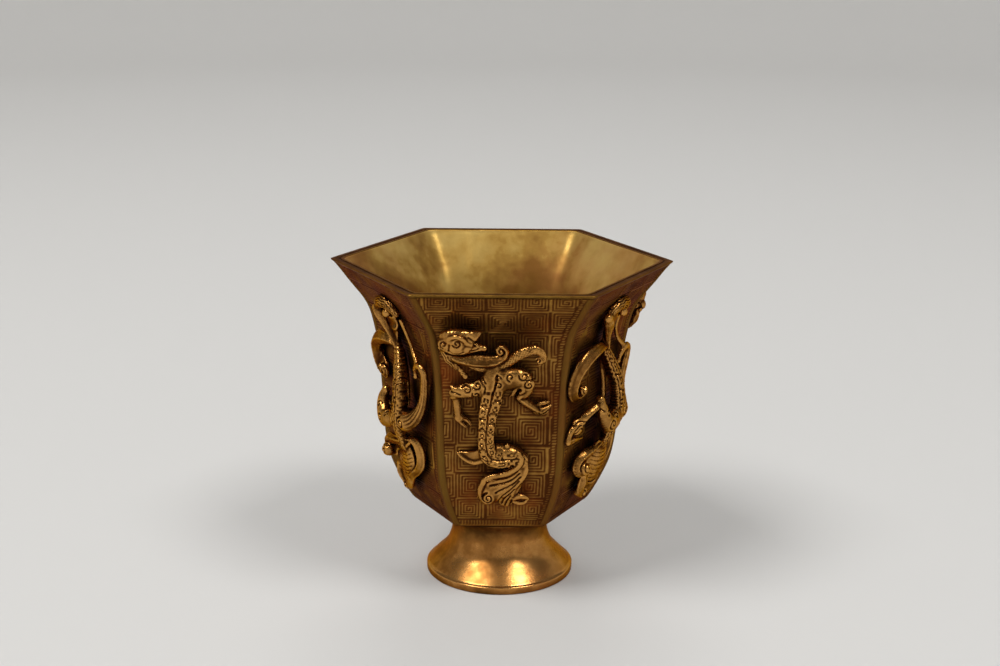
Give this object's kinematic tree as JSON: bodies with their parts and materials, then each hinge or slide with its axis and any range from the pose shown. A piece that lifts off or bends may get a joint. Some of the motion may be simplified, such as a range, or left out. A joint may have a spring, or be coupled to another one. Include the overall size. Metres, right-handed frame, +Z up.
{
  "type": "bronze wine cup",
  "caption": "Hexagonal flared wine cup of gilt bronze on a round trumpet foot, with openwork dragons standing off its walls.",
  "frame": {"origin": "middle of the foot's ring, on the surface that the cup stands on", "axes": "+Z up the axis of the cup, +X and -X towards opposite corners of the rim, -Y out of the front wall"},
  "size_m": [0.086, 0.0744, 0.0825],
  "materials": {
    "bowl_bronze": "gilt bronze, carved, with red-brown patina in the recesses",
    "foot_bronze": "smooth rubbed gilt bronze, brown where the gilding has worn",
    "dragon_bronze": "gilt bronze, chased, bright on the high points and brown in the grooves",
    "pin_bronze": "plain drawn bronze, dull",
    "solder": "dull grey tin solder"
  },
  "bodies": {
    "root": {"cup_body": "bowl_bronze", "foot": "foot_bronze", "solder_ring": "solder", "climbing_dragon_front": "dragon_bronze", "climbing_dragon_front_upper_pin": "pin_bronze", "climbing_dragon_front_lower_pin": "pin_bronze", "crested_dragon_front_right": "dragon_bronze", "crested_dragon_front_right_upper_pin": "pin_bronze", "crested_dragon_front_right_lower_pin": "pin_bronze", "climbing_dragon_back_right": "dragon_bronze", "climbing_dragon_back_right_upper_pin": "pin_bronze", "climbing_dragon_back_right_lower_pin": "pin_bronze", "crested_dragon_back": "dragon_bronze", "crested_dragon_back_upper_pin": "pin_bronze", "crested_dragon_back_lower_pin": "pin_bronze", "climbing_dragon_back_left": "dragon_bronze", "climbing_dragon_back_left_upper_pin": "pin_bronze", "climbing_dragon_back_left_lower_pin": "pin_bronze", "crested_dragon_front_left": "dragon_bronze", "crested_dragon_front_left_upper_pin": "pin_bronze", "crested_dragon_front_left_lower_pin": "pin_bronze"}
  },
  "joints": []
}
